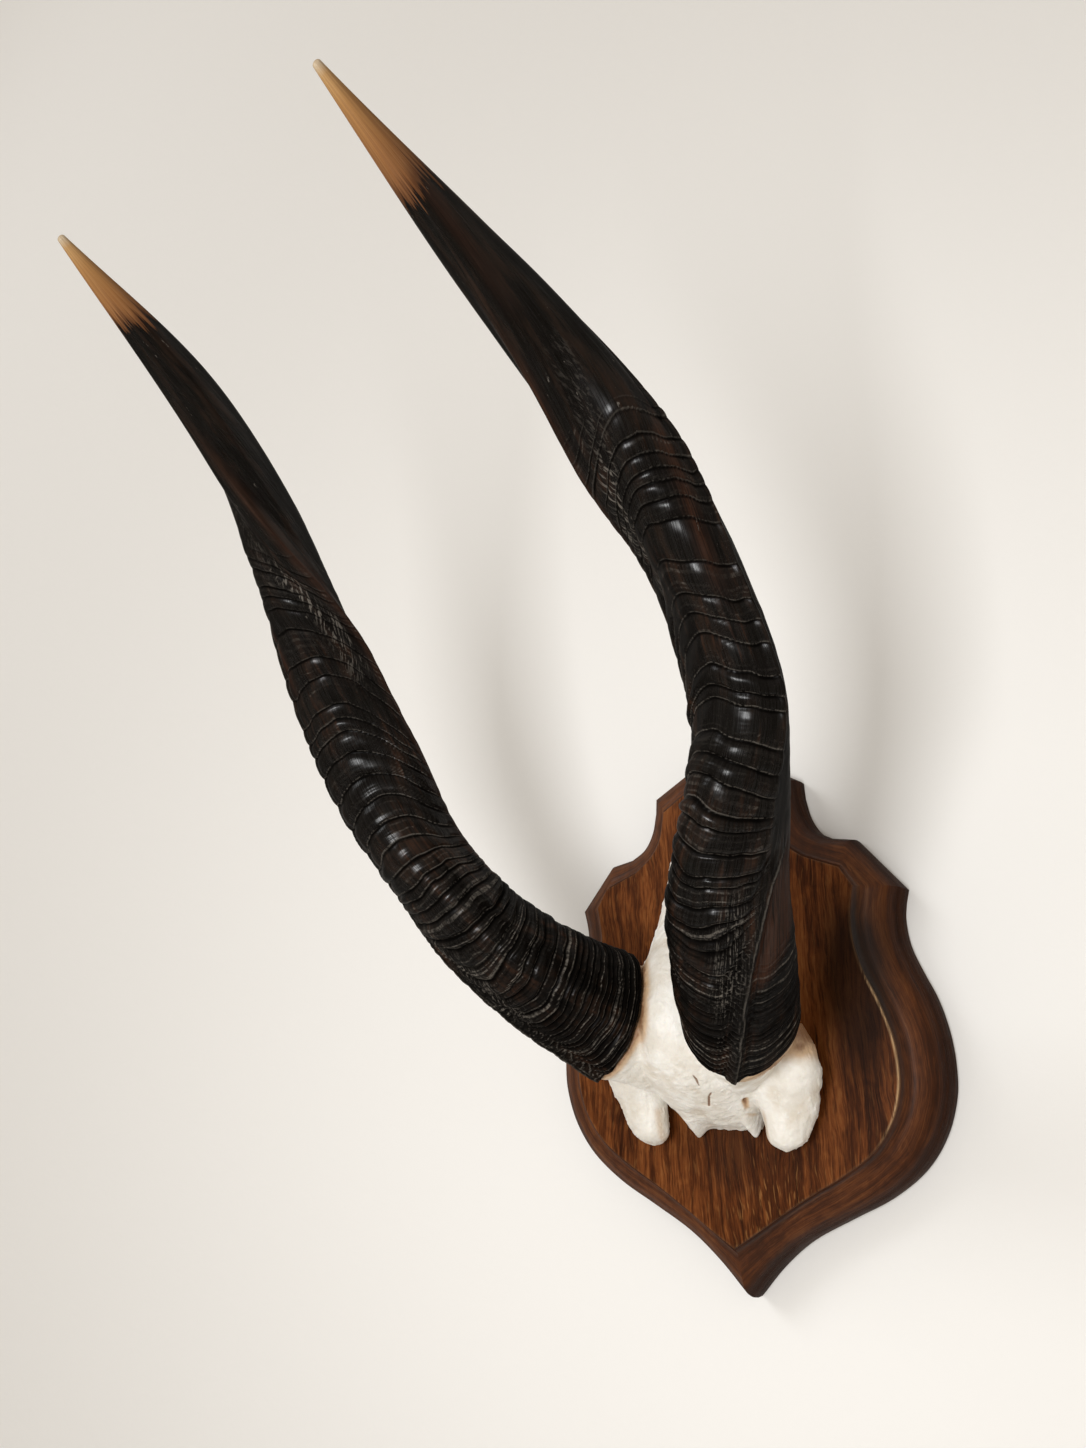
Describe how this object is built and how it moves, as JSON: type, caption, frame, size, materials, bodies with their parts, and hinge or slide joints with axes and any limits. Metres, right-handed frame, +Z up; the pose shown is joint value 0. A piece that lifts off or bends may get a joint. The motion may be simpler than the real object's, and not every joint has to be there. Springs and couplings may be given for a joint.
{
  "type": "antelope horn trophy",
  "caption": "Pair of keeled, ringed antelope horns on a bone skull cap, screwed to a moulded wooden shield that hangs flat on a wall.",
  "frame": {"origin": "on the shield's flat back face, on the centre line, at the level where the shield is widest", "axes": "+Z up the wall, +Y into the wall behind the shield, +X to the viewer's right; the horns reach out along -Y"},
  "size_m": [0.3198, 0.5865, 0.5383],
  "materials": {
    "shield_wood": "dark stained oak with a satin varnish",
    "skull_bone": "cleaned and whitened bone, matt",
    "horn_left_keratin": "near-black horn with an amber tip, satin",
    "horn_right_keratin": "near-black horn with an amber tip, satin",
    "cap_screw_upper_steel": "zinc-plated steel",
    "cap_screw_lower_steel": "zinc-plated steel",
    "hanger_steel": "zinc-plated steel sheet",
    "hanger_screw_top_steel": "zinc-plated steel",
    "hanger_screw_bottom_steel": "zinc-plated steel"
  },
  "bodies": {
    "root": {"shield": "shield_wood", "skull_cap": "skull_bone", "horn_left": "horn_left_keratin", "horn_right": "horn_right_keratin", "cap_screw_upper": "cap_screw_upper_steel", "cap_screw_lower": "cap_screw_lower_steel", "hanger_plate": "hanger_steel", "hanger_screw_top": "hanger_screw_top_steel", "hanger_screw_bottom": "hanger_screw_bottom_steel"}
  },
  "joints": []
}
